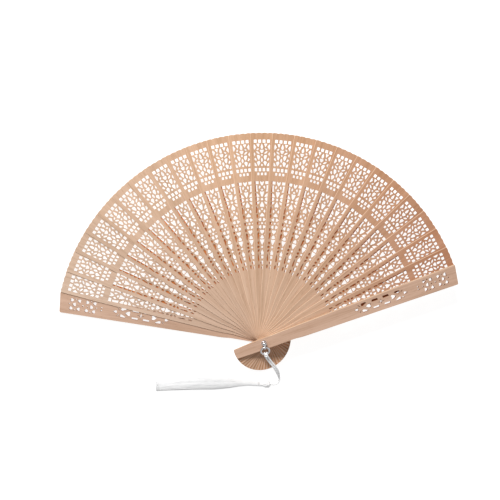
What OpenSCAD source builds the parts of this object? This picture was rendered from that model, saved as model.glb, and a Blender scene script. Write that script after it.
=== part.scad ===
// Pierced wooden folding fan with a tassel, shown fully open.
// Origin on the pivot axis, at the underside of the back guard. +Z runs up through the stack of
// sticks, and the fan opens towards +Y. Every outline is drawn pointing along +Y from the pivot.

/* [Fan] */
// Distance from the pivot to the rim of the sticks
rim_r = 175; // [170:1:180]
// Angle between the two guards when the fan is fully open
spread = 150; // [120:5:155]
// Direction of the front guard, counted from +X
front_angle = 20.5; // [15:0.5:25]
// How much closer the last stick lies to the front guard than the sticks lie to each other
front_lap = 1; // [0:0.1:1.5]

/* [Sticks] */
// Number of pierced sticks between the guards
stick_count = 24; // [20:1:24]
// Thickness of one stick
stick_t = 0.65; // [0.5:0.05:0.7]
// Free height between one stick and the next
stick_gap = 0.15; // [0.14:0.01:0.2]
// Half the width of a stick at its neck
neck_half = 4.3; // [4.1:0.1:4.6]
// Half the width of a stick at the plain band
band_half = 9; // [8.8:0.1:9.4]
// Half the width of a stick at the rim
rim_half = 9.7; // [9.4:0.1:10]
// Length of a stick's tail below the pivot
tail_r = 26; // [25.8:0.1:27]

/* [Guards] */
// Thickness of a guard
guard_t = 2.2; // [2:0.1:3]
// Width of a guard's neck from the rivet to its outer edge
guard_neck_out = 5.4; // [4.6:0.1:5.4]
// Width of a guard's neck from the rivet to its inner edge
guard_neck_in = 4.1; // [3.8:0.1:4.6]
// Half the width of a guard at its tip
guard_tip_half = 8.6; // [8.4:0.1:9]
// Length of a guard's tail below the pivot
guard_tail = 25.6; // [24:0.1:25.8]

/* [Ribbon] */
// Width of the ribbon glued along the plain band
ribbon_w = 3.8; // [3:0.2:4.2]
// Thickness of the ribbon
ribbon_t = 0.07; // [0.05:0.01:0.07]

/* [Rivet and ring] */
// Radius of the rivet's shank
pin_r = 1.2; // [1:0.1:1.4]
// Radius of the rivet's ball head
ball_r = 1.9; // [1.9:0.1:2.3]
// Radius of the ring, to the middle of its wire
ring_r = 3.5; // [3.3:0.1:3.6]
// Radius of the ring's wire
ring_wire_r = 0.7; // [0.6:0.05:0.75]

/* [Tassel] */
// Diameter of one strand of the cord
cord_d = 1.6; // [1.2:0.1:1.8]
// Length of the tassel's skirt
skirt_len = 89; // [60:1:90]
// Greatest width of the skirt
skirt_w = 11.5; // [10:0.5:13]

/* [Hidden] */
$fn = 64;

pitch = stick_t + stick_gap;
layer_gap = 0.1;
stick_z0 = guard_t + stick_gap;
front_z = stick_z0 + stick_count * pitch;
stack_top = front_z + guard_t;
step_angle = (spread + front_lap) / (stick_count + 1);
back_angle = front_angle + spread;

// Running fits round the rivet
run_fit = 0.05;
bore_r = pin_r + run_fit;
cap_r = 2.8;
cap_t = 0.8;

// Plain band between the two windows: where the ribbon starts, and where the stick is widest
band_y0 = 135.2;
band_mid = 137;
ribbon_inset = 0.3;

// Stations along the sticks and guards where the outline changes
neck_end = 22;
shoulder_end = 42;
shoulder_half = 5.7;
guard_shoulder_start = 24;
guard_shoulder_end = 36;
guard_shoulder_half = 6.2;
guard_end_out = 5;
guard_end_in = 2.7;
guard_end_steps = 6;
shoulder_steps = 6;

// Shallow scallops along the rim of a stick
scallop_w = 4.85;
scallop_depth = 0.45;
rim_drop = 0.8;
rim_steps = 24;

// Middle of the star in a guard's spindle
star_y = 105;

// Swivel eye and ring
washer_r = 2.3;
washer_t = 0.3;
collar_r = 2.1;
collar_t = 1.3;
eye_reach = 3.2;
eye_r = 1.6;
eye_bore = ring_wire_r + 0.15;
eye_t = 1.1;
eye_z = stack_top + washer_t + layer_gap + eye_r;
head_z = stack_top + washer_t + layer_gap + collar_t + layer_gap;
hang_angle = -80;
ring_tilt = 20;
hitch_r = ring_wire_r + 0.9;
hitch_len = 3.6;
ring_mid = eye_reach + ring_r * cos(ring_tilt);
ring_mid_z = eye_z - ring_r * sin(ring_tilt);
hitch_reach = eye_reach + 2 * ring_r * cos(ring_tilt);
hitch_z = eye_z - 2 * ring_r * sin(ring_tilt);

// The two strands leave the hitch side by side and cross the tails. As they drop to the table
// one turns on top of the other, and they lie like that up to the tassel's head.
strand_gap = 0.85;
stack_start = 0.44;
stack_end = 0.7;
stack_turn = 75;
cord_route = [
    [2.2, -10.7, 23.2], [3.3, -12.7, 21.7], [5, -15.2, 19.7], [7, -18, 17.8],
    [9, -20.5, 16.4], [10.9, -23.1, 15.1], [12.6, -25.8, 13], [13.9, -28.3, 10.2],
    [14.9, -30.3, 7.2], [15.7, -32.2, 4.6], [16.4, -34.2, 2.8], [16.9, -36.3, 1.9],
    [16.9, -38.3, 1.8], [16.2, -40.1, 1.8], [14.7, -41.4, 2.1], [12.4, -41.8, 2.6],
    [9.5, -41.6, 3.1]
];
cord_sides = 8;
cord_steps = 2;

head_len = 10.5;
head_r = 3.1;
head_pos = [9.5, -41.6, 3.1];
skirt_t = 6;
skirt_lift = 0.1;
skirt_sides = 16;
skirt_bow = 2.2;
skirt_lean = 2.4;
// Along the skirt: how far, its share of the greatest width, its share of the thickness
skirt_stations = [[0, 0.3, 0.6], [0.1, 0.36, 0.6], [0.18, 0.5, 0.68], [0.28, 0.72, 0.8],
                  [0.45, 1, 0.95], [0.62, 0.97, 0.95], [0.8, 0.88, 0.85], [1, 0.72, 0.7]];

stick_names = [for (i = [1 : stick_count]) str("stick_", i < 10 ? "0" : "", i)];
ribbon_names = [for (i = [1 : stick_count]) str("ribbon_", i < 10 ? "0" : "", i)];

function flip(points) = [for (p = points) [-p[0], p[1]]];
function mirrored(half) = concat(half, [for (i = [len(half) - 1 : -1 : 0]) if (half[i][0] > 0)
    [-half[i][0], half[i][1]]]);
function smooth(t) = t * t * (3 - 2 * t);

// ---- Hole motifs: x across the stick, y along it ----

module pair(points) {
    polygon(points);
    polygon(flip(points));
}

module centred(half) {
    polygon(mirrored(half));
}

module square_row(y, count, spacing, w, h) {
    for (i = [0 : count - 1])
        translate([(i - (count - 1) / 2) * spacing, y])
            square([w, h], center = true);
}

module dot(x, y, r) {
    translate([x, y])
        circle(r = r);
}

module leaf(length, width) {
    big_r = (length * length + width * width) / (4 * width);
    intersection() {
        translate([big_r - width / 2, 0]) circle(r = big_r);
        translate([width / 2 - big_r, 0]) circle(r = big_r);
    }
}

// Window next to the rim: a lattice of leaves, cups and hearts between rows of squares
module upper_window() {
    square_row(167.7, 4, 3.67, 2.4, 2.6);
    pair([[1.9, 165.7], [4.6, 165.6], [3.2, 162.9], [2.7, 162.9]]);
    centred([[0, 165.8], [0.7, 164.3], [1.1, 162.9], [0.8, 161.6], [0, 161.2]]);
    pair([[6.5, 165.4], [6.9, 163.8], [6.8, 161.6], [6.3, 160.4], [4.7, 163]]);
    pair([[2.6, 162.1], [4, 161.6], [4.4, 160.7], [3.6, 160.1], [2.7, 160.8]]);
    centred([[0, 160.7], [1.6, 160.7], [1.5, 159.6], [0.8, 158.3], [0, 157.9]]);
    for (s = [-1, 1])
        translate([s * 3.35, 158.4])
            rotate(-s * 52)
                leaf(3.7, 1.4);
    pair([[6.5, 159], [6.7, 157.2], [6.3, 155.1], [5.2, 157]]);
    centred([[0, 157.4], [0.9, 156.4], [0, 155.3]]);
    pair([[2.2, 156.4], [4, 156.4], [4.2, 155.6], [3.6, 153.6], [2.7, 152.3], [2.2, 152.5],
          [1.3, 154.9]]);
    pair([[5.3, 154.2], [6.1, 153.6], [6.3, 152.8], [5.2, 151.7], [4.2, 151.8], [4.6, 153.2]]);
    translate([0, 152.3])
        leaf(3.8, 1.6);
    pair([[2, 151.6], [3.6, 151.1], [4.2, 150.3], [3.2, 147.8], [2.7, 147.5], [2.3, 147.9],
          [1.2, 150.3]]);
    pair([[6.2, 150.2], [5.1, 149.6], [4.1, 147.9], [4.4, 147.1], [6, 147.4]]);
    dot(0, 148.1, 0.85);
    square_row(144.3, 4, 3.3, 2.1, 2.7);
    square_row(140.8, 3, 3, 1.7, 2.1);
}

// Upper half of the lower window: hearts above and below an eight-petalled flower
module flower_panel() {
    pair([[2.8, 134.7], [6.1, 134.7], [6.1, 132.3], [2.8, 132.3]]);
    centred([[0, 133.5], [0.8, 134.7], [1.6, 134.6], [1.5, 133.2], [0.7, 131.7], [0, 131]]);
    pair([[2.1, 131.3], [2.8, 129.9], [2.5, 128.5], [1.9, 128.6], [1.1, 129.8], [1.3, 130.7]]);
    centred([[0, 128.7], [1.1, 127.8], [0.8, 127.1], [0, 126.9]]);
    pair([[3.8, 131.4], [5.6, 131.3], [5.9, 126.2], [3.1, 126.1], [3.7, 127.8], [3.9, 129.6]]);
    centred([[0, 125.9], [0.9, 126.4], [1.8, 126.2], [1.6, 124.8], [0.7, 122.4], [0, 121.6]]);
    pair([[4.2, 124.8], [5.7, 125], [5.6, 122.4], [4.8, 121.9], [2, 121.7], [2.7, 123.4]]);
    dot(0, 119.8, 0.95);
    pair([[2.2, 120], [3.2, 121.2], [5.5, 121.3], [5.4, 118.7], [3.3, 118.4]]);
    pair([[1.8, 118], [3.2, 117.6], [5.2, 117.6], [5.1, 115.2], [3.9, 115.4], [2.6, 116.3]]);
    centred([[0, 118.2], [0.7, 116.8], [1.7, 114.9], [1.6, 113.7], [0.9, 113.3], [0, 113.8]]);
}

// Middle of the lower window: a six-petalled rosette between two pointed arches
module rosette_panel() {
    centred([[0, 112.7], [0.95, 111.6], [0, 110.6]]);
    pair([[3.3, 113.9], [4.8, 113.5], [5.1, 108.4], [4.2, 108.2], [3.9, 111]]);
    pair([[2.3, 111.3], [2.8, 109.8], [2.4, 108.5], [1.8, 108.8], [1.1, 109.7], [1.6, 110.7]]);
    centred([[0, 108.6], [1.9, 106.3], [1.6, 105.5], [0, 105.4]]);
    pair([[3.7, 107.4], [4.8, 107], [4.6, 104.5], [3.9, 103.9], [3.2, 105.8]]);
    dot(0, 99.8, 0.85);
    pair([[0.7, 104.2], [1.7, 104.1], [3.2, 102.9], [2.2, 101.8], [0.7, 101.5]]);
    pair([[0.7, 98.1], [2.2, 97.8], [3.2, 96.7], [1.8, 95.4], [0.7, 95.4]]);
    pair([[2, 99.8], [3.4, 100.9], [4.4, 101], [4.3, 98.5], [3.3, 98.7]]);
    pair([[3.2, 95.6], [4.3, 95.4], [4.2, 93.5], [3.3, 93.2], [2.9, 94.3]]);
    centred([[0, 93.9], [0.9, 94.3], [1.8, 93.8], [1.5, 92.4], [0, 90.7]]);
    pair([[3.2, 92.3], [4, 91], [3.8, 86.5], [3.3, 86.2], [2.7, 88.6], [1.8, 90.2]]);
    centred([[0, 90], [0.9, 89.2], [1.5, 87.8], [1.3, 86.9], [0, 86.8]]);
}

// Narrow end of the lower window: drops and slots that shrink towards the pivot
module drop_panel() {
    centred([[0, 86.1], [1.8, 86.2], [1.5, 84.6], [0.4, 82], [0, 81.7]]);
    pair([[2.7, 84.5], [3.9, 84], [3.6, 82.3], [2.6, 82], [2.2, 83.1]]);
    dot(0, 79.8, 0.85);
    pair([[2.3, 80.5], [3.2, 80.9], [4.1, 80.4], [4.1, 79.2], [3, 78.8], [2.3, 79.2]]);
    pair([[2.2, 77.8], [3, 77.8], [3.9, 76.7], [3.8, 75.7], [3, 75.7], [2.3, 76.6]]);
    centred([[0, 78], [0.6, 76.4], [1.7, 74.3], [1.5, 73.4], [0, 73.2]]);
    pair([[3.5, 74.8], [3.8, 71], [3.5, 68.4], [2.9, 67.4], [2.4, 69], [2.9, 71.6]]);
    dot(0, 71.2, 1.25);
    centred([[0, 68.4], [1.4, 67], [1.3, 65.7], [0, 65]]);
    pair([[2.6, 65.3], [3.4, 64.4], [3.3, 62], [2.6, 61.6], [2.2, 63.4]]);
    translate([0, 62.2])
        leaf(3, 1.7);
}

// ---- Sticks ----

function rim_wave(u) = scallop_depth * abs(sin(180 * u / scallop_w));
rim_points = [for (i = [0 : rim_steps])
    let (x = rim_half * (2 * i / rim_steps - 1))
    [x, sqrt(rim_r * rim_r - x * x) - rim_drop + rim_wave(x + rim_half)]];
right_edge = [for (i = [0 : shoulder_steps])
    let (t = i / shoulder_steps)
    [neck_half + (shoulder_half - neck_half) * smooth(t),
     neck_end + (shoulder_end - neck_end) * t]];

module stick_outline() {
    tail_corner = sqrt(tail_r * tail_r - neck_half * neck_half);
    side = concat([[neck_half, -tail_corner]], right_edge, [[band_half, band_mid]]);
    intersection() {
        polygon(concat(side, [for (i = [rim_steps : -1 : 0]) rim_points[i]],
            [for (i = [len(side) - 1 : -1 : 0]) [-side[i][0], side[i][1]]],
            [[0, -tail_r - 1]]));
        union() {
            circle(r = tail_r);
            translate([-2 * rim_half, 0])
                square([4 * rim_half, rim_r]);
        }
    }
}

module stick(index) {
    color([0.86, 0.68, 0.52])
        rotate(back_angle - index * step_angle - 90)
            translate([0, 0, stick_z0 + (index - 1) * pitch])
                linear_extrude(stick_t)
                    difference() {
                        stick_outline();
                        circle(r = bore_r);
                        upper_window();
                        flower_panel();
                        rosette_panel();
                        drop_panel();
                    }
}

// One link of the ribbon, glued to the back of its stick along the plain band
module ribbon(index) {
    color([0.93, 0.89, 0.82])
        rotate(back_angle - index * step_angle - 90)
            translate([0, 0, stick_z0 + (index - 1) * pitch - ribbon_t])
                linear_extrude(ribbon_t)
                    intersection() {
                        difference() {
                            circle(r = band_y0 + ribbon_w);
                            circle(r = band_y0);
                        }
                        translate([ribbon_inset - band_half, 0])
                            square([2 * (band_half - ribbon_inset), rim_r]);
                    }
}

// ---- Guards ----

// Outline with its shouldered edge on +X. The tail narrows and ends on an arc about the pivot.
module guard_outline() {
    outer = concat(
        [[guard_neck_out, -4]],
        [for (i = [0 : shoulder_steps])
            let (t = i / shoulder_steps)
            [guard_neck_out + (guard_shoulder_half - guard_neck_out) * smooth(t),
             guard_shoulder_start + (guard_shoulder_end - guard_shoulder_start) * t]],
        [[guard_tip_half, rim_r - 3.2], [guard_tip_half - 0.6, rim_r - 2.4]]);
    inner = [[-guard_tip_half + 0.5, rim_r - 0.5], [-guard_tip_half, rim_r - 1.2],
             [-guard_neck_in, -2]];
    tail = [for (i = [0 : guard_end_steps])
        let (x = -guard_end_in + (guard_end_out + guard_end_in) * i / guard_end_steps)
        [x, -sqrt(guard_tail * guard_tail - x * x)]];
    polygon(concat(outer, inner, tail));
}

function along(points) = [for (p = points) [p[0], 2 * star_y - p[1]]];

// Cells of the spindle that repeat at both sides of the star
module spindle_half(points) {
    polygon(points);
    polygon(along(points));
}

module spindle_cells(points) {
    spindle_half(points);
    spindle_half(flip(points));
}

module spindle() {
    spindle_cells([[2.2, 107.4], [4.1, 107.2], [4.1, 112.3], [2.4, 112.9]]);
    spindle_half([[0, 114.7], [1.3, 114.1], [2.1, 115], [1.6, 116.6], [0, 118.6],
                  [-1.6, 116.6], [-2.1, 115], [-1.3, 114.1]]);
    spindle_cells([[3.2, 117.6], [1.5, 121], [1.8, 122.4], [4, 122.2], [4.2, 118.4]]);
    spindle_cells([[1.6, 123.4], [2, 123.2], [3.6, 125], [3.2, 125.3]]);
    spindle_half([[-1.1, 125.6], [1.1, 125.6], [1.3, 126.6], [0, 129], [-1.3, 126.6]]);
    polygon([[0, star_y + 3.6], [0.4, star_y + 0.4], [2.5, star_y], [0.4, star_y - 0.4],
             [0, star_y - 3.6], [-0.4, star_y - 0.4], [-2.5, star_y], [-0.4, star_y + 0.4]]);
}

// Rosette of four hearts round a crescent, with its open side at +Y
module guard_rosette() {
    for (sx = [-1, 1])
        for (sy = [-1, 1])
            translate([sx * 3.4, sy * 3.2])
                polygon([[-sx * 0.2, -sy * 1.7], [sx * 1.1, -sy * 1.2], [sx * 1.7, sy * 0.2],
                         [sx * 1, sy * 1.3], [-sx * 0.2, sy * 0.9], [-sx * 1.5, sy * 1],
                         [-sx * 1.3, -sy * 0.3]]);
    polygon([[-1.9, -0.2], [0, -0.6], [1.9, -0.2], [1.2, 1.4], [0, 2.2], [-1.2, 1.4]]);
    dot(0, -2.6, 0.45);
    dot(0, 4.9, 0.55);
    dot(4.6, 0, 0.55);
    dot(-4.6, 0, 0.55);
}

module guard_holes() {
    spindle();
    dot(1.2, 138.6, 0.65);
    dot(-1.2, 138.6, 0.65);
    dot(0, 154.3, 0.7);
    translate([0, 160.8])
        guard_rosette();
    translate([0, 147.8])
        rotate(180)
            guard_rosette();
}

module guard_plate(side) {
    linear_extrude(guard_t)
        difference() {
            if (side > 0) {
                guard_outline();
            } else {
                mirror([1, 0, 0])
                    guard_outline();
            }
            circle(r = bore_r);
            guard_holes();
        }
}

module front_guard() {
    color([0.84, 0.67, 0.52])
        rotate(front_angle - 90)
            translate([0, 0, front_z])
                guard_plate(1);
}

module back_guard() {
    color([0.84, 0.67, 0.52])
        rotate(back_angle - 90)
            difference() {
                guard_plate(-1);
                translate([0, 0, -1])
                    cylinder(r = cap_r + run_fit, h = 1 + cap_t + run_fit);
            }
}

// ---- Rivet, washer, eye and ring ----

// Shank that stands on the rear cap, with a ball head on its top end
module rivet() {
    color([0.85, 0.85, 0.87]) {
        translate([0, 0, cap_t])
            cylinder(r = pin_r, h = head_z - cap_t);
        translate([0, 0, head_z])
            rotate_extrude()
                intersection() {
                    translate([0, ball_r * 0.5])
                        circle(r = ball_r);
                    square([ball_r, 2 * ball_r]);
                }
    }
}

module rear_cap() {
    color([0.8, 0.8, 0.82])
        cylinder(r = cap_r, h = cap_t);
}

module front_washer() {
    color([0.8, 0.8, 0.82])
        translate([0, 0, stack_top])
            difference() {
                cylinder(r = washer_r, h = washer_t);
                translate([0, 0, -1])
                    cylinder(r = bore_r, h = washer_t + 2);
            }
}

// Collar that turns on the shank, with an upright eye for the ring
module swivel_eye() {
    color([0.82, 0.82, 0.84])
        rotate(hang_angle)
            difference() {
                union() {
                    translate([0, 0, stack_top + washer_t + layer_gap])
                        cylinder(r = collar_r, h = collar_t);
                    translate([eye_reach, eye_t / 2, eye_z])
                        rotate([90, 0, 0])
                            cylinder(r = eye_r, h = eye_t);
                    translate([1.6, -eye_t / 2, stack_top + washer_t + layer_gap])
                        cube([eye_reach - 1.6, eye_t, collar_t]);
                }
                cylinder(r = bore_r, h = stack_top + 2 * washer_t + 2 * collar_t);
                translate([0, 0, head_z - layer_gap])
                    cylinder(r = ball_r + 0.1, h = 4 * collar_t);
                translate([eye_reach, eye_t, eye_z])
                    rotate([90, 0, 0])
                        cylinder(r = eye_bore, h = 2 * eye_t);
            }
}

module ring() {
    color([0.88, 0.88, 0.9])
        rotate(hang_angle)
            translate([ring_mid, 0, ring_mid_z])
                rotate([0, ring_tilt, 0])
                    rotate_extrude()
                        translate([ring_r, 0])
                            circle(r = ring_wire_r);
}

// ---- Cord and tassel ----

// Sleeve of cord round the low side of the ring
module cord_hitch() {
    color([0.96, 0.96, 0.95])
        rotate(hang_angle)
            translate([hitch_reach, hitch_len / 2, hitch_z])
                rotate([90, 0, 0])
                    cylinder(r = hitch_r, h = hitch_len);
}

function unit(v) = v / norm(v);
function catmull(a, b, c, d, t) =
    0.5 * (2 * b + (c - a) * t + (2 * a - 5 * b + 4 * c - d) * t * t
           + (3 * b - a - 3 * c + d) * t * t * t);
function resample(route, steps) = concat(
    [for (i = [0 : len(route) - 2])
        let (a = route[max(i - 1, 0)], b = route[i], c = route[i + 1],
             d = route[min(i + 2, len(route) - 1)])
        for (s = [0 : steps - 1]) catmull(a, b, c, d, s / steps)],
    [route[len(route) - 1]]);
function heading(path, i) = unit(path[min(i + 1, len(path) - 1)] - path[max(i - 1, 0)]);
function across(path, i) =
    let (h = heading(path, i))
    unit([h[1], -h[0], 0]);
function stacked(path, i) =
    let (t = (i / (len(path) - 1) - stack_start) / (stack_end - stack_start),
         turn = stack_turn * smooth(min(max(t, 0), 1)), side = across(path, i))
    cos(turn) * side + sin(turn) * cross(side, heading(path, i));
function shifted(path, offset) = [for (i = [0 : len(path) - 1]) path[i] + offset * stacked(path, i)];

module tube(path, diameter) {
    count = len(path);
    rings = [for (i = [0 : count - 1])
        let (h = heading(path, i), side = across(path, i), up = cross(side, h))
        for (k = [0 : cord_sides - 1])
            let (a = 360 * k / cord_sides)
            path[i] + diameter / 2 * (cos(a) * side + sin(a) * up)];
    walls = [for (i = [0 : count - 2]) for (k = [0 : cord_sides - 1])
        let (n = (k + 1) % cord_sides)
        [i * cord_sides + k, i * cord_sides + n, (i + 1) * cord_sides + n,
         (i + 1) * cord_sides + k]];
    start = [[for (k = [cord_sides - 1 : -1 : 0]) k]];
    finish = [[for (k = [0 : cord_sides - 1]) (count - 1) * cord_sides + k]];
    polyhedron(points = rings, faces = concat(walls, start, finish));
}

module cord_strand(side) {
    color([0.97, 0.97, 0.96])
        tube(shifted(resample(cord_route, cord_steps), side * strand_gap), cord_d);
}

// Knotted head of the tassel, lying along -X from the end of the cord
module tassel_head() {
    color([0.95, 0.95, 0.94])
        translate(head_pos)
            rotate([0, -90, 0])
                rotate_extrude()
                    polygon([[0, 0], [1.8, 0], [head_r - 0.3, 1.4], [head_r, 3], [head_r - 0.1, 4.6],
                             [2.5, 6.6], [1.9, 8.4], [1.8, head_len], [0, head_len]]);
}

// Skirt of threads: a flat bundle that widens, then narrows to its cut end
function skirt_ring(s) = [for (k = [0 : skirt_sides - 1])
    let (a = 360 * k / skirt_sides, bow = skirt_bow * sin(180 * s[0]) - skirt_lean * s[0])
    [head_pos[0] - head_len - s[0] * skirt_len,
     head_pos[1] + skirt_w / 2 * s[1] * cos(a) + bow,
     skirt_t / 2 * s[2] * (1 + sin(a)) + skirt_lift]];

module tassel_skirt() {
    color([0.97, 0.97, 0.96]) {
        count = len(skirt_stations);
        points = [for (s = skirt_stations) each skirt_ring(s)];
        walls = [for (i = [0 : count - 2]) for (k = [0 : skirt_sides - 1])
            let (n = (k + 1) % skirt_sides)
            [i * skirt_sides + k, (i + 1) * skirt_sides + k, (i + 1) * skirt_sides + n,
             i * skirt_sides + n]];
        start = [[for (k = [0 : skirt_sides - 1]) k]];
        finish = [[for (k = [skirt_sides - 1 : -1 : 0]) (count - 1) * skirt_sides + k]];
        polyhedron(points = points, faces = concat(walls, start, finish));
    }
}

back_guard();
front_guard();
rivet();
rear_cap();
front_washer();
swivel_eye();
ring();
cord_hitch();
cord_strand(1);  // cord_strand_a
cord_strand(-1);  // cord_strand_b
tassel_head();
tassel_skirt();
for (i = [1 : stick_count]) {
    stick(i);
    ribbon(i);
}
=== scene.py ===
import math

import bpy
import numpy as np
from mathutils import Matrix, Vector


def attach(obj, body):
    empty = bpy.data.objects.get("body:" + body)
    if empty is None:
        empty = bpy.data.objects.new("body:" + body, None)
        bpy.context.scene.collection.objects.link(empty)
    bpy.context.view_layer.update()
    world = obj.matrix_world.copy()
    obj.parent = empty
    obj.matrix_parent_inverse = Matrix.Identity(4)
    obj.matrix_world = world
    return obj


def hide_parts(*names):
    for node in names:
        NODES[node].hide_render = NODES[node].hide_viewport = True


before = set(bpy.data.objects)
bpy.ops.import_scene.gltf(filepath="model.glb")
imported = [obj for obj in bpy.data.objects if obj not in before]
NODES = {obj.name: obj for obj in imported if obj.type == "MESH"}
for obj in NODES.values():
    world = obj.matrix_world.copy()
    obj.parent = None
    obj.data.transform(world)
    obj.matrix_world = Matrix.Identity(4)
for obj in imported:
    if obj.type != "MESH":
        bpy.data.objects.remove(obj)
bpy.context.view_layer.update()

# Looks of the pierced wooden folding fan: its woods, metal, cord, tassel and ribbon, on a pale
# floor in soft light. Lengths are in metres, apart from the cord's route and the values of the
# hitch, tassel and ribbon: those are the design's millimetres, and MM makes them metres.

MM = 0.001

# ---- The design's own values, as in the CAD ----

BACK_ANGLE = 170.5
FRONT_ANGLE = 20.5
STICK_COUNT = 24
STEP_ANGLE = (BACK_ANGLE - FRONT_ANGLE + 1) / (STICK_COUNT + 1)
CORD_ROUTE = [
    (2.2, -10.7, 23.2), (3.3, -12.7, 21.7), (5, -15.2, 19.7), (7, -18, 17.8),
    (9, -20.5, 16.4), (10.9, -23.1, 15.1), (12.6, -25.8, 13), (13.9, -28.3, 10.2),
    (14.9, -30.3, 7.2), (15.7, -32.2, 4.6), (16.4, -34.2, 2.8), (16.9, -36.3, 1.9),
    (16.9, -38.3, 1.8), (16.2, -40.1, 1.8), (14.7, -41.4, 2.1), (12.4, -41.8, 2.6),
    (9.5, -41.6, 3.1),
]
CORD_DIAMETER = 1.6 * MM
STRAND_GAP = 0.85 * MM
STRAND_SIDES = {"a": 1, "b": -1}
STACK_START, STACK_END, STACK_TURN = 0.44, 0.7, math.radians(75)
HITCH_CENTRE = (9.78, 23.36)
HANG_ANGLE = math.radians(-80)


def stick_angle(index):
    return BACK_ANGLE - index * STEP_ANGLE


def stick_names():
    return [f"stick_{i:02d}" for i in range(1, STICK_COUNT + 1)]


# ---- Camera ----

CAMERA_PLACE = Vector((-0.0663, 0.1416, 0.5997))
CAMERA_FORWARD = Vector((0.0899, -0.1090, -0.9900))
CAMERA_UP = Vector((-0.0194, 0.9936, -0.1112))
CAMERA_LENS = 50.9


def make_camera():
    data = bpy.data.cameras.new("camera")
    data.lens = CAMERA_LENS
    data.clip_start = 0.01
    data.clip_end = 20
    camera = bpy.data.objects.new("camera", data)
    bpy.context.scene.collection.objects.link(camera)
    back = -CAMERA_FORWARD.normalized()
    right = CAMERA_UP.cross(back).normalized()
    up = back.cross(right)
    turn = Matrix((right, up, back)).transposed()
    camera.matrix_world = Matrix.Translation(CAMERA_PLACE) @ turn.to_4x4()
    bpy.context.scene.camera = camera


make_camera()


# ---- Mesh helpers ----

def add_mesh(name, points, faces, smooth=True):
    mesh = bpy.data.meshes.new(name)
    mesh.from_pydata([tuple(p) for p in points], [], faces)
    mesh.polygons.foreach_set("use_smooth", [smooth] * len(faces))
    mesh.update()
    piece = bpy.data.objects.new(name, mesh)
    bpy.context.scene.collection.objects.link(piece)
    return piece


def grid_faces(rings, sides, start=0):
    """Quads between closed rings of points that follow each other."""
    faces = []
    for i in range(rings - 1):
        for k in range(sides):
            n = (k + 1) % sides
            low, high = start + i * sides, start + (i + 1) * sides
            faces.append((low + k, low + n, high + n, high + k))
    return faces


def capped(rings, sides, start=0):
    last = start + (rings - 1) * sides
    return grid_faces(rings, sides, start) + [
        tuple(range(start + sides - 1, start - 1, -1)),
        tuple(range(last, last + sides)),
    ]


def headings(path):
    steps = np.gradient(path, axis=0)
    return steps / np.linalg.norm(steps, axis=1)[:, None]


def frames(path):
    """Two directions square to the path at each of its points, carried along without twist."""
    along = headings(path)
    side = np.array([0, 0, 1.0]) if abs(along[0][2]) < 0.9 else np.array([1.0, 0, 0])
    sides = []
    for h in along:
        side = side - h * (side @ h)
        side = side / np.linalg.norm(side)
        sides.append(side)
    sides = np.array(sides)
    return sides, np.cross(along, sides)


def smooth_route(route, steps):
    """Catmull-Rom curve through the route's points, as the CAD draws it."""
    route = np.array(route, float)
    last = len(route) - 1
    out = []
    for i in range(last):
        a, b = route[max(i - 1, 0)], route[i]
        c, d = route[i + 1], route[min(i + 2, last)]
        for t in np.arange(steps) / steps:
            out.append(0.5 * (2 * b + (c - a) * t + (2 * a - 5 * b + 4 * c - d) * t * t
                              + (3 * b - a - 3 * c + d) * t ** 3))
    return np.array(out + [route[last]])


def twisted_points(path, radius, plies, pitch, sides):
    """Rings of a laid cord: its plies stand out of the outline and turn once in each pitch."""
    u, v = frames(path)
    run = np.concatenate([[0], np.cumsum(np.linalg.norm(np.diff(path, axis=0), axis=1))])
    points = []
    for p, a, b, s in zip(path, u, v, run):
        for k in range(sides):
            angle = 2 * math.pi * k / sides
            lobe = abs(math.cos(plies * (angle - 2 * math.pi * s / pitch) / 2))
            r = radius * (0.78 + 0.22 * lobe)
            points.append(p + r * (math.cos(angle) * a + math.sin(angle) * b))
    return points


def profile(stations, s):
    """Value at s on a smooth curve through (place, value) pairs."""
    places, values = np.array(stations, float).T
    i = min(max(int(np.searchsorted(places, s)) - 1, 0), len(places) - 2)
    slopes = np.gradient(values, places)
    step = places[i + 1] - places[i]
    t = min(max((s - places[i]) / step, 0), 1)
    return float((2 * t ** 3 - 3 * t * t + 1) * values[i] + (3 * t * t - 2 * t ** 3) * values[i + 1]
                 + (t ** 3 - 2 * t * t + t) * step * slopes[i]
                 + (t ** 3 - t * t) * step * slopes[i + 1])


def eased(t):
    t = np.clip(t, 0, 1)
    return t * t * (3 - 2 * t)


# ---- Cord: two strands from the hitch to the tassel's knot ----

def strand_path(side):
    """The strand's own line. The two start side by side, then one turns on top of the other."""
    middle = smooth_route(CORD_ROUTE, 8) * MM
    along = headings(middle)
    flat = np.stack([along[:, 1], -along[:, 0], np.zeros(len(along))], axis=1)
    flat /= np.linalg.norm(flat, axis=1)[:, None]
    share = np.linspace(0, 1, len(middle))
    turn = STACK_TURN * eased((share - STACK_START) / (STACK_END - STACK_START))[:, None]
    away = np.cos(turn) * flat + np.sin(turn) * np.cross(flat, along)
    return middle + side * STRAND_GAP * away


def make_strand(letter):
    path = strand_path(STRAND_SIDES[letter])
    sides = 20
    points = twisted_points(path, CORD_DIAMETER / 2, plies=3, pitch=4.2 * MM, sides=sides)
    strand = add_mesh("strand_" + letter, points, capped(len(path), sides))
    return strand, path


strands = {letter: make_strand(letter) for letter in STRAND_SIDES}


# ---- Hitch: the cord's doubled end, looped round the ring's wire ----

def hang_point(outward, across, z):
    """A point in the ring's own directions: outward from the pivot, across it and up."""
    c, s = math.cos(HANG_ANGLE), math.sin(HANG_ANGLE)
    return (outward * c - across * s, outward * s + across * c, z)


HITCH_THREAD = 0.56
HITCH_TURN = 1.28
HITCH_SPREAD = 0.82
HITCH_MIDDLE = 0.31
HITCH_SIDES = 16


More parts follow.
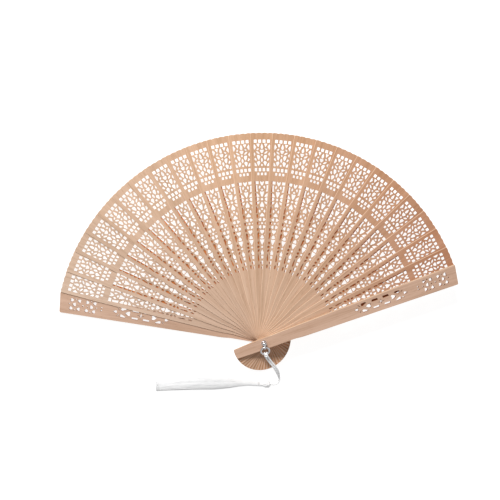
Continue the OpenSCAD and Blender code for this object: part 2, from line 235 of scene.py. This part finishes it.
def hitch_route():
    """Under the wire, up through the ring, back over the wire, and across the two strands."""
    out, up = HITCH_CENTRE
    half = [(1.5, -0.7, -0.35), (0.95, -1, -0.95), (0, -1, -1.0), (-0.93, -1, -0.93),
            (-1.0, -1, 0), (-0.93, -1, 0.93), (0, -1, 1.02), (0.95, -0.98, 0.98),
            (1.6, -0.6, 0.86)]
    turn = HITCH_TURN
    route = [(o * (turn if abs(o) <= 1 else 1), a, z * turn) for o, a, z in half]
    route += [(1.85, 0, 1.02)]
    route += [(o, -a, z) for o, a, z in reversed(route[:-1])]
    return [hang_point(out + o, HITCH_MIDDLE + a * HITCH_SPREAD, up + z)
            for o, a, z in route]


hitch_path = smooth_route(hitch_route(), 7) * MM
hitch = add_mesh(
    "hitch",
    twisted_points(hitch_path, HITCH_THREAD * MM, plies=3, pitch=3.2 * MM, sides=HITCH_SIDES),
    capped(len(hitch_path), HITCH_SIDES),
)


# ---- Tassel: woven knot, bound neck and skirt of threads ----

HEAD_START = np.array([9.5, -41.6, 3.1])
HEAD_LENGTH = 10.5
KNOT_PROFILE = [(0, 0.5), (0.5, 1.7), (1.5, 2.7), (3, 3.02), (4.6, 2.9), (6.6, 2.3), (8.2, 1.75),
                (9.4, 1.6), (10.5, 1.72)]
KNOT_END = 8.2
KNOT_STRANDS = 6
KNOT_TWIST = 1.15
KNOT_RELIEF = 0.34
NECK_FLUTES = 34
FLUTE_DEPTH = 0.16
KNOT_RINGS, KNOT_SIDES = 84, 132
BINDING_START = KNOT_END
BINDING_LENGTH = 1.6
BINDING_TURNS = 4
BINDING_THREAD = 0.26
BINDING_RISE = 0.1
BINDING_SIDES = 10


def knot_radius(x, angle):
    """Outline of the knot, with two families of crossing strands, then the bundled threads."""
    base = profile(KNOT_PROFILE, x)
    if x < KNOT_END:
        left = math.cos(KNOT_STRANDS * angle + KNOT_TWIST * x)
        right = math.cos(KNOT_STRANDS * angle - KNOT_TWIST * x)
        over = math.cos(KNOT_TWIST * x * 2)
        ridge = max(left + 0.25 * over, right - 0.25 * over)
        fade = min(x / 1.2, (KNOT_END - x) / 0.8, 1)
        return base - KNOT_RELIEF * (1 - ridge) * 0.5 * max(fade, 0.1)
    return base - FLUTE_DEPTH * abs(math.sin(NECK_FLUTES * angle / 2 + 0.4 * x))


def knot_mesh():
    points = []
    for i in range(KNOT_RINGS):
        x = HEAD_LENGTH * i / (KNOT_RINGS - 1)
        for k in range(KNOT_SIDES):
            angle = 2 * math.pi * k / KNOT_SIDES
            r = knot_radius(x, angle)
            points.append(HEAD_START + [-x, r * math.cos(angle), r * math.sin(angle)])
    faces = capped(KNOT_RINGS, KNOT_SIDES)
    steps = 40 * BINDING_TURNS
    coil = []
    for i in range(steps + 1):
        angle = 2 * math.pi * BINDING_TURNS * i / steps
        x = BINDING_START + BINDING_LENGTH * i / steps
        r = profile(KNOT_PROFILE, x) + BINDING_RISE
        coil.append(HEAD_START + [-x, r * math.cos(angle), r * math.sin(angle)])
    wrap = twisted_points(np.array(coil), BINDING_THREAD, plies=2, pitch=2.0,
                          sides=BINDING_SIDES)
    faces += capped(len(coil), BINDING_SIDES, start=len(points))
    return [np.array(p) * MM for p in points + wrap], faces


points, faces = knot_mesh()
knot = add_mesh("tassel_knot", points, faces)

SKIRT_TUCK = 0.6
SKIRT_START = HEAD_START - [HEAD_LENGTH - SKIRT_TUCK, 0, 0]
SKIRT_LENGTH = 89.6
SKIRT_BOW = 2.2
SKIRT_LEAN = 2.4
SKIRT_SAG = 0.12
SKIRT_WIDTH = [(0, 1.7), (0.1, 2.05), (0.18, 2.85), (0.28, 4.5), (0.45, 6.1), (0.62, 5.7),
               (0.8, 5.0), (1, 4.1)]
SKIRT_HEIGHT = [(0, 1.7), (0.1, 1.75), (0.18, 1.95), (0.28, 2.3), (0.45, 2.7), (0.62, 2.7),
                (0.8, 2.4), (1, 2)]
THREAD_COUNT = 330
THREAD_SIDES = 5
THREAD_RINGS = 30
CORE_END = 0.9
CORE_SHARE = 0.8
CORE_RINGS, CORE_SIDES = 40, 96
TABLE_GAP = 0.03


def skirt_point(s, angle, share):
    """Place on the skirt at s of its length: share 0 is its middle and 1 its outline."""
    wide, tall = profile(SKIRT_WIDTH, s), profile(SKIRT_HEIGHT, s)
    bow = SKIRT_BOW * math.sin(math.pi * s) - SKIRT_LEAN * s
    rested = float(eased(s / SKIRT_SAG))
    middle = HEAD_START[2] * (1 - rested) + (0.25 + tall) * rested
    return np.array([SKIRT_START[0] - s * SKIRT_LENGTH,
                     SKIRT_START[1] + bow + share * wide * math.cos(angle),
                     middle + share * tall * math.sin(angle)])


def skirt_mesh():
    """A ridged core for the bundle's body, and loose threads that drift along it."""
    rng = np.random.default_rng(7)
    points, faces = [], []
    for i in range(CORE_RINGS):
        s = CORE_END * i / (CORE_RINGS - 1)
        for k in range(CORE_SIDES):
            angle = 2 * math.pi * k / CORE_SIDES
            share = CORE_SHARE - 0.05 * (k % 2)
            points.append(skirt_point(s, angle, share))
    faces += capped(CORE_RINGS, CORE_SIDES)
    for _ in range(THREAD_COUNT):
        angle = rng.uniform(0, 2 * math.pi)
        share = rng.uniform(0.84, 0.985) if rng.random() < 0.85 else rng.uniform(0.2, 0.84)
        drift, phase = rng.normal(0, 0.12), rng.uniform(0, 2 * math.pi)
        wave, ripple = rng.uniform(0.01, 0.05), rng.uniform(0.004, 0.02)
        cut = rng.uniform(0.975, 1.0)
        thick = rng.uniform(0.19, 0.29)
        path = []
        for i in range(THREAD_RINGS):
            s = cut * i / (THREAD_RINGS - 1)
            turn = angle + drift * s + wave * math.sin(7 * s + phase)
            path.append(skirt_point(s, turn, share - ripple * (1 + math.sin(11 * s + phase))))
        path = np.array(path)
        u, v = frames(path)
        start = len(points)
        for i, (p, a, b) in enumerate(zip(path, u, v)):
            width = thick * (0.5 + 0.5 * min(3 * i / THREAD_RINGS, 1))
            for k in range(THREAD_SIDES):
                t = 2 * math.pi * k / THREAD_SIDES
                q = p + width * (math.cos(t) * a + math.sin(t) * b)
                q[2] = max(q[2], TABLE_GAP)
                points.append(q)
        faces += capped(THREAD_RINGS, THREAD_SIDES, start)
    return [np.array(p) * MM for p in points], faces


points, faces = skirt_mesh()
skirt = add_mesh("tassel_threads", points, faces)


# ---- Ribbon: one woven link under each stick, along the plain band ----

RIBBON_INNER = 135.25
RIBBON_OUTER = 138.95
RIBBON_HALF = 8.65
RIBBON_THICK = 0.066
RIBBON_COLUMNS, RIBBON_ROWS = 58, 10
RIBBON_FRAY = 0.04
WEAVE_HEIGHT = 0.007
GLUE_GAP = 0.002
STACK_BASE = 2.35
STACK_PITCH = 0.8


def make_ribbon(index):
    """A thin curved strip with a woven face, an uneven edge and its top against its stick."""
    columns, rows = RIBBON_COLUMNS, RIBBON_ROWS
    turn = math.radians(stick_angle(index) - 90)
    c, s = math.cos(turn), math.sin(turn)
    top = STACK_BASE + (index - 1) * STACK_PITCH - GLUE_GAP
    points = []
    for level in (0, 1):
        for i in range(columns):
            x = RIBBON_HALF * (2 * i / (columns - 1) - 1)
            for k in range(rows):
                t = k / (rows - 1)
                edge = RIBBON_FRAY * math.sin(1.7 * i + index) * (abs(2 * t - 1) == 1)
                r = RIBBON_INNER + (RIBBON_OUTER - RIBBON_INNER) * t
                y = math.sqrt((r + edge) ** 2 - x * x)
                weave = WEAVE_HEIGHT * ((i + k) % 2) if 0 < t < 1 else 0
                z = top - (RIBBON_THICK - weave) * (1 - level)
                points.append((np.array([x * c - y * s, x * s + y * c, z])) * MM)
    count = columns * rows

    def at(level, i, k):
        return level * count + i * rows + k

    faces = []
    for i in range(columns - 1):
        for k in range(rows - 1):
            quad = [(i, k), (i + 1, k), (i + 1, k + 1), (i, k + 1)]
            faces.append(tuple(at(1, *q) for q in quad))
            faces.append(tuple(at(0, *q) for q in reversed(quad)))
    rim = [(i, 0) for i in range(columns)] + [(columns - 1, k) for k in range(1, rows)]
    rim += [(i, rows - 1) for i in range(columns - 2, -1, -1)]
    rim += [(0, k) for k in range(rows - 2, 0, -1)]
    for n, here in enumerate(rim):
        after = rim[(n + 1) % len(rim)]
        faces.append((at(0, *here), at(0, *after), at(1, *after), at(1, *here)))
    return add_mesh(f"ribbon_link_{index:02d}", points, faces, smooth=False)


ribbons = [make_ribbon(i + 1) for i in range(STICK_COUNT)]


# ---- Materials ----

class Nodes:
    """Short names for building one node material."""

    def __init__(self, name):
        self.material = bpy.data.materials.new(name)
        self.material.use_nodes = True
        self.tree = self.material.node_tree
        self.shader = self.tree.nodes["Principled BSDF"]

    def add(self, kind, **settings):
        node = self.tree.nodes.new(kind)
        for key, value in settings.items():
            setattr(node, key, value)
        return node

    def link(self, source, target):
        self.tree.links.new(source, target)

    def coordinates(self, size, turn=0.0, place=(0, 0, 0)):
        """Object coordinates, turned to run along the piece, in units of size."""
        source = self.add("ShaderNodeTexCoord")
        mapping = self.add("ShaderNodeMapping", vector_type="TEXTURE")
        mapping.inputs["Location"].default_value = place
        mapping.inputs["Rotation"].default_value = (0, 0, turn)
        mapping.inputs["Scale"].default_value = size
        self.link(source.outputs["Object"], mapping.inputs["Vector"])
        return mapping.outputs["Vector"]

    def noise(self, vector, detail, distortion=0.0):
        node = self.add("ShaderNodeTexNoise")
        node.inputs["Scale"].default_value = 1.0
        node.inputs["Detail"].default_value = detail
        node.inputs["Roughness"].default_value = 0.55
        node.inputs["Distortion"].default_value = distortion
        self.link(vector, node.inputs["Vector"])
        return node.outputs["Fac"]

    def ramp(self, value, stops):
        node = self.add("ShaderNodeValToRGB")
        elements = node.color_ramp.elements
        while len(elements) > 1:
            elements.remove(elements[-1])
        elements[0].position, elements[0].color = stops[0][0], (*stops[0][1], 1)
        for position, colour in stops[1:]:
            elements.new(position).color = (*colour, 1)
        self.link(value, node.inputs["Fac"])
        return node.outputs["Color"]

    def span(self, value, low, high, to_low=0.0, to_high=1.0, curve="LINEAR"):
        node = self.add("ShaderNodeMapRange", clamp=True, interpolation_type=curve)
        for key, number in (("From Min", low), ("From Max", high), ("To Min", to_low),
                            ("To Max", to_high)):
            node.inputs[key].default_value = number
        self.link(value, node.inputs["Value"])
        return node.outputs["Result"]

    def math(self, kind, a, b=None):
        node = self.add("ShaderNodeMath", operation=kind)
        self.link(a, node.inputs[0])
        if isinstance(b, (int, float)):
            node.inputs[1].default_value = b
        elif b is not None:
            self.link(b, node.inputs[1])
        return node.outputs[0]

    def mix(self, share, first, second, kind="MIX"):
        node = self.add("ShaderNodeMix", data_type="RGBA", blend_type=kind)
        self.link(share, node.inputs["Factor"])
        self.link(first, node.inputs["A"])
        self.link(second, node.inputs["B"])
        return node.outputs["Result"]

    def parts(self, vector):
        node = self.add("ShaderNodeSeparateXYZ")
        self.link(vector, node.inputs[0])
        return node.outputs

    def bump(self, height, strength, distance):
        node = self.add("ShaderNodeBump")
        node.inputs["Strength"].default_value = strength
        node.inputs["Distance"].default_value = distance
        self.link(height, node.inputs["Height"])
        self.link(node.outputs["Normal"], self.shader.inputs["Normal"])

    def set(self, **values):
        for key, value in values.items():
            self.shader.inputs[key.replace("_", " ")].default_value = value


def linear(colour):
    """Colour as seen on a screen, 0 to 255, made into the light that it stands for."""
    out = []
    for c in colour:
        c = c / 255
        out.append(c / 12.92 if c <= 0.04045 else ((c + 0.055) / 1.055) ** 2.4)
    return tuple(out)


def blended(first, second, t):
    return tuple(a + (b - a) * t for a, b in zip(first, second))


# A stick's half width at four places along it
NECK_END, NECK_HALF = 22 * MM, 4.3 * MM
SHOULDER_END, SHOULDER_HALF = 42 * MM, 5.7 * MM
BAND_MIDDLE, BAND_HALF = 137 * MM, 9 * MM
TIP_END, TIP_HALF = 174.5 * MM, 9.7 * MM
STICK_HALF = ((SHOULDER_END, SHOULDER_HALF), (BAND_MIDDLE, BAND_HALF))
GUARD_HALF = ((36 * MM, 5 * MM), (172 * MM, 8.5 * MM))
GUARD_INNER = ((-2 * MM, 4.1 * MM), (173.8 * MM, 8.6 * MM))

# Sizes of the wood's figure, grain, pores and flecks: across, along and up
FIGURE_SIZE = (0.0062, 0.13, 0.0062)
GRAIN_SIZE = (0.0011, 0.034, 0.0011)
PORE_SIZE = (0.00032, 0.0062, 0.00032)
FLECK_SIZE = (0.0004, 0.0004, 0.0004)

# Stretches along a piece where one look passes into the next
NECK_TO_RIM = (45 * MM, 165 * MM)
LAP_START = (40 * MM, 50 * MM)
TAIL_START = (-9 * MM, -4 * MM)
ARRIS_START = (3 * MM, 8 * MM)
WINDOWS_START, WINDOWS_END = (50 * MM, 56 * MM), (169.5 * MM, 170.5 * MM)

BLACK, WHITE = (0, 0, 0), (1, 1, 1)
LAP_SLOPE = math.tan(math.radians(STEP_ANGLE))
# Painted shade on the strip of a stick that the next stick covers
LAP_SHADE_DARK, LAP_SHADE_LIGHT = (0.72, 0.28, 0.07), (1.0, 0.5, 0.18)
# Painted shade on the tail beside the next stick's edge
TAIL_SHADE_DARK, TAIL_SHADE_LIGHT = (0.74, 0.49, 0.31), (1.0, 0.82, 0.63)
# Painted highlight: the pale line along the edge that lies on the stick before
ARRIS_HIGHLIGHT = linear((246, 212, 182))
ARRIS_WIDTH = 0.3 * MM


def planed(n, length, neck, rim, turn, place):
    """Wood that passes from the neck's tone to the rim's, with lines of grain and fine pores.
    Gives its colour and the two textures that its surface follows."""
    figure = n.noise(n.coordinates(FIGURE_SIZE, turn, place), detail=2, distortion=0.6)
    grain = n.noise(n.coordinates(GRAIN_SIZE, turn, place), detail=4)
    pores = n.noise(n.coordinates(PORE_SIZE, turn, place), detail=2)
    near = n.ramp(figure, [(0.3, blended(neck, BLACK, 0.13)), (0.7, blended(neck, WHITE, 0.06))])
    far = n.ramp(figure, [(0.3, blended(rim, BLACK, 0.15)), (0.7, blended(rim, WHITE, 0.05))])
    toned = n.mix(n.span(length, *NECK_TO_RIM), near, far)
    grey = n.ramp(grain, [(0.3, (0.8, 0.75, 0.7)), (0.52, (0.98, 0.97, 0.96)), (0.8, WHITE)])
    lined = n.mix(n.span(grain, 0.2, 0.8, 0.75, 0.95), toned, grey, "MULTIPLY")
    speck = n.ramp(pores, [(0.28, (0.66, 0.55, 0.46)), (0.4, WHITE)])
    fine = n.mix(n.span(pores, 0.25, 0.45, 0.8, 0.2), lined, speck, "MULTIPLY")
    return fine, grain, pores


def painted_lap_shade(n, colour, grain, side, length, outline, topside):
    """A stick's upper face with painted shade where the next stick lies on it: the dark strip that
    shows only through that stick's holes, and a darker line of painted shade on the tail."""
    fan_out = n.math("MULTIPLY", length, LAP_SLOPE)
    reach = n.math("SUBTRACT", n.math("ADD", side, outline), fan_out)
    under = n.math("MULTIPLY", n.span(reach, 0.1 * MM, 0.5 * MM), n.span(length, *LAP_START))
    # painted shade: the covered strip is darkened, and it shows only through the next stick's holes
    strip = n.ramp(grain, [(0.3, LAP_SHADE_DARK), (0.7, LAP_SHADE_LIGHT)])
    colour = n.mix(n.math("MULTIPLY", under, topside), colour, strip, "MULTIPLY")

    # painted shade on the tail: darkest beside the next stick's edge, fading towards this stick's
    # own edge
    tail_out = n.math("MULTIPLY", length, -LAP_SLOPE)
    bared = n.math("ADD", n.math("SUBTRACT", side, NECK_HALF), tail_out)
    line = n.span(n.math("DIVIDE", bared, tail_out), 0.3, 0.62, 1.0, 0.0)
    shaded = n.math("MULTIPLY", line, n.span(length, *TAIL_START, 1.0, 0.0))
    tail_shade = n.ramp(grain, [(0.3, TAIL_SHADE_DARK), (0.7, TAIL_SHADE_LIGHT)])
    return n.mix(n.math("MULTIPLY", shaded, topside), colour, tail_shade, "MULTIPLY")


def stick_width(n, length):
    """A stick's half width at a place along it."""
    shoulder = n.span(length, NECK_END, SHOULDER_END, NECK_HALF, SHOULDER_HALF, "SMOOTHSTEP")
    blade = n.span(length, SHOULDER_END, BAND_MIDDLE, 0, BAND_HALF - SHOULDER_HALF)
    tip = n.span(length, BAND_MIDDLE, TIP_END, 0, TIP_HALF - BAND_HALF)
    return n.math("ADD", shoulder, n.math("ADD", blade, tip))


def guard_width(n, length):
    """How far the front guard's inner edge lies from its line, at a place along it."""
    (low, low_half), (high, high_half) = GUARD_INNER
    return n.span(length, low, high, low_half, high_half)


def painted_edge_highlight(n, colour, grain, inset, length, topside, share):
    """Painted highlight: a pale line along the edge that lies on the stick before; inset is the
    distance from the edge.
    """
    edge = n.span(inset, ARRIS_WIDTH, 2 * ARRIS_WIDTH, share, 0.0)
    edge = n.math("MULTIPLY", edge, n.span(length, *ARRIS_START))
    pale = n.ramp(grain, [(0.3, blended(ARRIS_HIGHLIGHT, BLACK, 0.12)), (0.7, ARRIS_HIGHLIGHT)])
    return n.mix(n.math("MULTIPLY", edge, topside), colour, pale)


def wood(name, heading, neck, rim, edge, wall, half, shift, width, edge_highlight, lapped):
    """Planed wood whose grain runs along the piece. edge is the tone of its outer edges and wall
    of the walls of its holes, partly the cut wood's own colour and partly painted shade; half
    tells the two apart, as half the piece's width at two places along it. shift moves the grain
    from piece to piece. edge_highlight is how pale the painted highlight along its edge is, and
    width is how far that edge lies from the piece's line. lapped paints shade on a stick that has
    the next one on it."""
    n = Nodes(name)
    turn = math.radians(heading - 90)
    place = (0.31 * shift, 0.17 * shift, 0.05 * shift)
    plain = n.parts(n.coordinates((1, 1, 1), turn))
    side, length = plain["X"], plain["Y"]
    upward = n.parts(n.add("ShaderNodeTexCoord").outputs["Normal"])["Z"]
    face, grain, pores = planed(n, length, neck, rim, turn, place)
    (near, near_half), (far, far_half) = half
    outline = n.span(length, near, far, near_half, far_half)
    topside = n.span(upward, 0.2, 0.6)
    # sticks get painted shade where the next stick lies on them
    if lapped:
        face = painted_lap_shade(n, face, grain, side, length, outline, topside)
    # painted highlight along the edge
    highlight_inset = n.math("ADD", side, width(n, length))
    face = painted_edge_highlight(n, face, grain, highlight_inset, length, topside, edge_highlight)

    inset = n.math("SUBTRACT", outline, n.math("ABSOLUTE", side))
    windows = n.math("MULTIPLY", n.span(length, *WINDOWS_START),
                     n.span(length, *WINDOWS_END, 1.0, 0.0))
    pierced = n.math("MULTIPLY", n.span(inset, 0.4 * MM, 0.8 * MM), windows)
    fleck = n.noise(n.coordinates(FLECK_SIZE, turn, place), detail=2)
    # window walls take the wall tone, which holds painted shade as well as the cut wood's colour
    cut = n.mix(pierced, n.ramp(fleck, [(0.3, blended(edge, BLACK, 0.2)), (0.7, edge)]),
                n.ramp(fleck, [(0.3, blended(wall, BLACK, 0.4)), (0.7, wall)]))
    flat = n.span(n.math("ABSOLUTE", upward), 0.2, 0.6)
    n.link(n.mix(flat, cut, face), n.shader.inputs["Base Color"])
    n.link(n.span(grain, 0.25, 0.75, 0.56, 0.4), n.shader.inputs["Roughness"])
    n.set(Specular_IOR_Level=0.35)
    n.bump(n.math("ADD", grain, n.math("MULTIPLY", pores, 0.6)), 0.35, 0.06 * MM)
    return n.material


def metal(name, colour, turn):
    """Bright plated metal with fine scuff marks."""
    n = Nodes(name)
    marks = n.noise(n.coordinates((0.0022, 0.00028, 0.0012), turn), detail=3)
    haze = n.noise(n.coordinates((0.0014, 0.0014, 0.0014)), detail=2)
    n.link(n.ramp(haze, [(0.35, blended(colour, BLACK, 0.14)), (0.65, colour)]),
           n.shader.inputs["Base Color"])
    n.link(n.span(n.math("ADD", marks, haze), 0.7, 1.3, 0.09, 0.24), n.shader.inputs["Roughness"])
    n.set(Metallic=1.0)
    n.bump(marks, 0.12, 0.00002)
    return n.material


def fibre(name, size, dark, light, roughness, sheen):
    """Glossy threads: fine lines along the piece's length, a little uneven in tone."""
    n = Nodes(name)
    lines = n.noise(n.coordinates(size), detail=3)
    cloud = n.noise(n.coordinates((0.006, 0.003, 0.003)), detail=2)
    tone = n.math("ADD", n.math("MULTIPLY", lines, 0.6), n.math("MULTIPLY", cloud, 0.4))
    n.link(n.ramp(tone, [(0.35, dark), (0.6, light)]), n.shader.inputs["Base Color"])
    n.link(n.span(lines, 0.3, 0.7, roughness + 0.1, roughness - 0.06),
           n.shader.inputs["Roughness"])
    n.set(Sheen_Weight=sheen, Sheen_Roughness=0.35, Specular_IOR_Level=0.45)
    n.bump(lines, 0.4, 0.00007)
    return n.material


def woven(name, colour, turn):
    """Plain-weave ribbon: warp along the band and weft across it."""
    n = Nodes(name)
    vector = n.coordinates((0.00042, 0.00042, 0.00042), turn)
    threads = []
    for direction in ("X", "Y"):
        wave = n.add("ShaderNodeTexWave", wave_type="BANDS", bands_direction=direction)
        wave.inputs["Scale"].default_value = 0.5
        wave.inputs["Distortion"].default_value = 0.4
        n.link(vector, wave.inputs["Vector"])
        threads.append(wave.outputs["Fac"])
    weave = n.math("MAXIMUM", *threads)
    n.link(n.ramp(weave, [(0.2, blended(colour, BLACK, 0.3)), (0.8, colour)]),
           n.shader.inputs["Base Color"])
    n.link(n.span(weave, 0, 1, 0.7, 0.5), n.shader.inputs["Roughness"])
    n.set(Sheen_Weight=0.3)
    n.bump(weave, 0.5, 0.00003)
    return n.material


def shaded_along(tones, share):
    """Tone at a share of the way through a row of tones."""
    place = share * (len(tones) - 1)
    i = min(int(place), len(tones) - 2)
    return blended(tones[i], tones[i + 1], place - i)


def dress(piece, material):
    piece.data.materials.clear()
    piece.data.materials.append(material)


# The left sticks are paler and pinker, and the right ones a warmer brown
NECK_TONES = [linear(c) for c in ((212, 179, 155), (206, 169, 140), (208, 170, 141))]
RIM_TONES = [linear(c) for c in ((214, 184, 160), (207, 163, 126), (186, 129, 94))]
GUARD_TONE = linear((206, 169, 144))
EDGE_LEFT, EDGE_RIGHT = linear((216, 178, 144)), linear((214, 168, 130))
# Hole walls: partly the cut wood's own colour, partly painted shade inside the holes; darker on the
# right sticks
WALL_LEFT, WALL_RIGHT = linear((168, 100, 58)), linear((130, 66, 32))

rng = np.random.default_rng(11)
for number, name in enumerate(stick_names(), 1):
    share = (number - 1) / (STICK_COUNT - 1)
    lift = 1 + rng.uniform(-0.05, 0.04)
    neck = tuple(lift * c for c in shaded_along(NECK_TONES, share))
    rim = tuple(lift * c for c in shaded_along(RIM_TONES, share))
    layer = 1 + rng.uniform(-0.24, 0.02)
    edge = tuple(layer * c for c in blended(EDGE_LEFT, EDGE_RIGHT, share))
    wall = blended(WALL_LEFT, WALL_RIGHT, share)
    # the painted edge highlight grows from the left sticks to the right ones
    look = wood("wood_" + name, stick_angle(number), neck, rim, edge, wall, STICK_HALF, number,
                stick_width, edge_highlight=0.2 + 0.6 * share, lapped=True)
    dress(NODES[name], look)
# the front guard gets a strong painted edge highlight, the back guard none
for name, heading, shift, edge_highlight in (("back_guard", BACK_ANGLE, 31, 0.0),
                                      ("front_guard", FRONT_ANGLE, 37, 0.9)):
    look = wood("wood_" + name, heading, GUARD_TONE, GUARD_TONE, EDGE_LEFT, WALL_LEFT, GUARD_HALF,
                shift, guard_width, edge_highlight, lapped=False)
    dress(NODES[name], look)

CHROME = (0.86, 0.86, 0.88)
for name, turn in (("rivet", 0.4), ("rear_cap", 1.1), ("front_washer", 0.7),
                   ("swivel_eye", HANG_ANGLE), ("ring", HANG_ANGLE)):
    dress(NODES[name], metal("metal_" + name, CHROME, turn))

cord_look = fibre("cord_fibre", (0.0003, 0.0011, 0.0006), (0.86, 0.86, 0.865), (0.97, 0.97, 0.97),
                  0.5, 0.3)
silk_look = fibre("silk_fibre", (0.011, 0.0003, 0.0003), (0.77, 0.77, 0.775), (0.86, 0.86, 0.86),
                  0.4, 0.3)
for piece in (hitch, strands["a"][0], strands["b"][0]):
    dress(piece, cord_look)
dress(knot, fibre("knot_fibre", (0.0014, 0.0004, 0.0004), (0.66, 0.66, 0.665),
                  (0.88, 0.88, 0.88), 0.38, 0.3))
dress(skirt, silk_look)
for index, ribbon in enumerate(ribbons, 1):
    turn = math.radians(stick_angle(index) - 90)
    dress(ribbon, woven(f"ribbon_weave_{index:02d}", linear((238, 230, 214)), turn))


# ---- Softened edges on the wood ----

STICK_ROUNDING, GUARD_ROUNDING = 0.06 * MM, 0.22 * MM


def soften(piece, width):
    """Joins the facets' shared corners, then rounds every sharp edge a little."""
    weld = piece.modifiers.new("weld", "WELD")
    weld.merge_threshold = 0.000002
    bevel = piece.modifiers.new("bevel", "BEVEL")
    bevel.width = width
    bevel.segments = 2
    bevel.limit_method = "ANGLE"
    bevel.angle_limit = math.radians(40)
    bevel.harden_normals = False


for name in stick_names():
    soften(NODES[name], STICK_ROUNDING)
for name in ("back_guard", "front_guard"):
    soften(NODES[name], GUARD_ROUNDING)


# ---- Each piece to its body, in place of its CAD node ----

def place(piece, body, finish, *nodes):
    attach(piece, body)
    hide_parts(*nodes)


place(hitch, "hanger", "cord", "cord_hitch")
place(knot, "hanger", "tassel_silk", "tassel_head")
place(skirt, "hanger", "tassel_silk", "tassel_skirt")
for letter, (strand, path) in strands.items():
    place(strand, "hanger", "cord", "cord_strand_" + letter)
for index, ribbon in enumerate(ribbons, 1):
    place(ribbon, f"stick_{index:02d}", "ribbon", f"ribbon_{index:02d}")


# ---- Floor and light ----

FLOOR_DROP = 0.4 * MM
FLOOR_HALF = 4.0
FLOOR_GLOW = 0.87


def make_floor():
    """A pale floor with a faint glow of its own, so that the fan's holes show white."""
    corners = [(-FLOOR_HALF, -FLOOR_HALF), (FLOOR_HALF, -FLOOR_HALF),
               (FLOOR_HALF, FLOOR_HALF), (-FLOOR_HALF, FLOOR_HALF)]
    floor = add_mesh("floor", [(x, y, -FLOOR_DROP) for x, y in corners], [(0, 1, 2, 3)])
    n = Nodes("floor_paint")
    cloud = n.noise(n.coordinates((0.4, 0.4, 0.4)), detail=2)
    n.link(n.ramp(cloud, [(0.3, (0.3, 0.3, 0.3)), (0.7, (0.33, 0.33, 0.33))]),
           n.shader.inputs["Base Color"])
    n.set(Roughness=0.9, Specular_IOR_Level=0.1, Emission_Color=(1, 1, 1, 1),
          Emission_Strength=FLOOR_GLOW)
    dress(floor, n.material)


def add_light(name, place, target, size, power):
    data = bpy.data.lights.new(name, "AREA")
    data.shape = "RECTANGLE"
    data.size, data.size_y = size
    data.energy = power
    lamp = bpy.data.objects.new(name, data)
    bpy.context.scene.collection.objects.link(lamp)
    lamp.location = place
    lamp.rotation_mode = "QUATERNION"
    lamp.rotation_quaternion = (Vector(target) - Vector(place)).to_track_quat("-Z", "Y")


make_floor()
FAN_MIDDLE = (0, 0.07, 0.01)
WORLD_LIGHT = 0.32
add_light("key", (-0.4, 0.95, 0.95), FAN_MIDDLE, (0.34, 0.26), 19.6)
add_light("fill", (0.2, -0.7, 0.9), FAN_MIDDLE, (1.0, 0.8), 1)

world = bpy.data.worlds.new("studio")
world.use_nodes = True
world.node_tree.nodes["Background"].inputs["Color"].default_value = (1, 1, 1, 1)
world.node_tree.nodes["Background"].inputs["Strength"].default_value = WORLD_LIGHT
bpy.context.scene.world = world
bpy.context.scene.view_settings.view_transform = "Standard"
